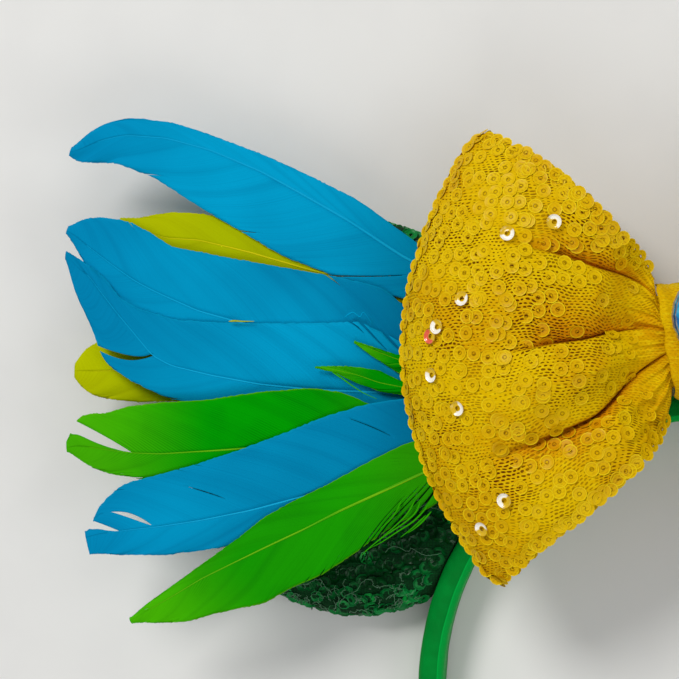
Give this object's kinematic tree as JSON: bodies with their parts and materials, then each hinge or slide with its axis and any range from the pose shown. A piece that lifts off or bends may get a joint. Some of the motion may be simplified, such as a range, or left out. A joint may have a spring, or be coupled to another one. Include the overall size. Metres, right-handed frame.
{
  "type": "mouse ears headband",
  "caption": "Headband with padded round mouse ears, a sequinned net bow with a cut stone, and a fan of dyed feathers on each side.",
  "frame": {"origin": "middle of the underside of the whole, on the surface that it lies on", "axes": "+Z out of the front of the headband, +Y from the tips of the legs towards the top of the arch, +X across it"},
  "size_m": [0.2966, 0.1936, 0.048],
  "materials": {
    "band_satin": "green satin wrapped round a padded band",
    "ear_sequins": "dark green sequinned cloth over padding",
    "bow_net": "yellow net sewn with clear yellow cup sequins",
    "gem_silver": "polished silver rim",
    "gem_stone": "polished faceted blue stone",
    "feather_blue": "dyed turquoise blue goose feather",
    "feather_green": "dyed bright green goose feather",
    "feather_yellow": "dyed yellow goose feather"
  },
  "bodies": {
    "root": {"headband": "band_satin", "ear_left": "ear_sequins", "ear_right": "ear_sequins", "bow_loop_left": "bow_net", "bow_loop_right": "bow_net", "bow_knot": "bow_net", "gem_rim": "gem_silver", "gem": "gem_stone", "feather_left_blue_1": "feather_blue", "feather_left_blue_2": "feather_blue", "feather_left_blue_3": "feather_blue", "feather_left_blue_4": "feather_blue", "feather_left_green_1": "feather_green", "feather_left_green_2": "feather_green", "feather_left_green_3": "feather_green", "feather_left_green_4": "feather_green", "feather_left_yellow_1": "feather_yellow", "feather_left_yellow_2": "feather_yellow", "feather_right_blue_1": "feather_blue", "feather_right_blue_2": "feather_blue", "feather_right_blue_3": "feather_blue", "feather_right_blue_4": "feather_blue", "feather_right_green_1": "feather_green", "feather_right_green_2": "feather_green", "feather_right_green_3": "feather_green", "feather_right_green_4": "feather_green", "feather_right_yellow_1": "feather_yellow", "feather_right_yellow_2": "feather_yellow"}
  },
  "joints": []
}
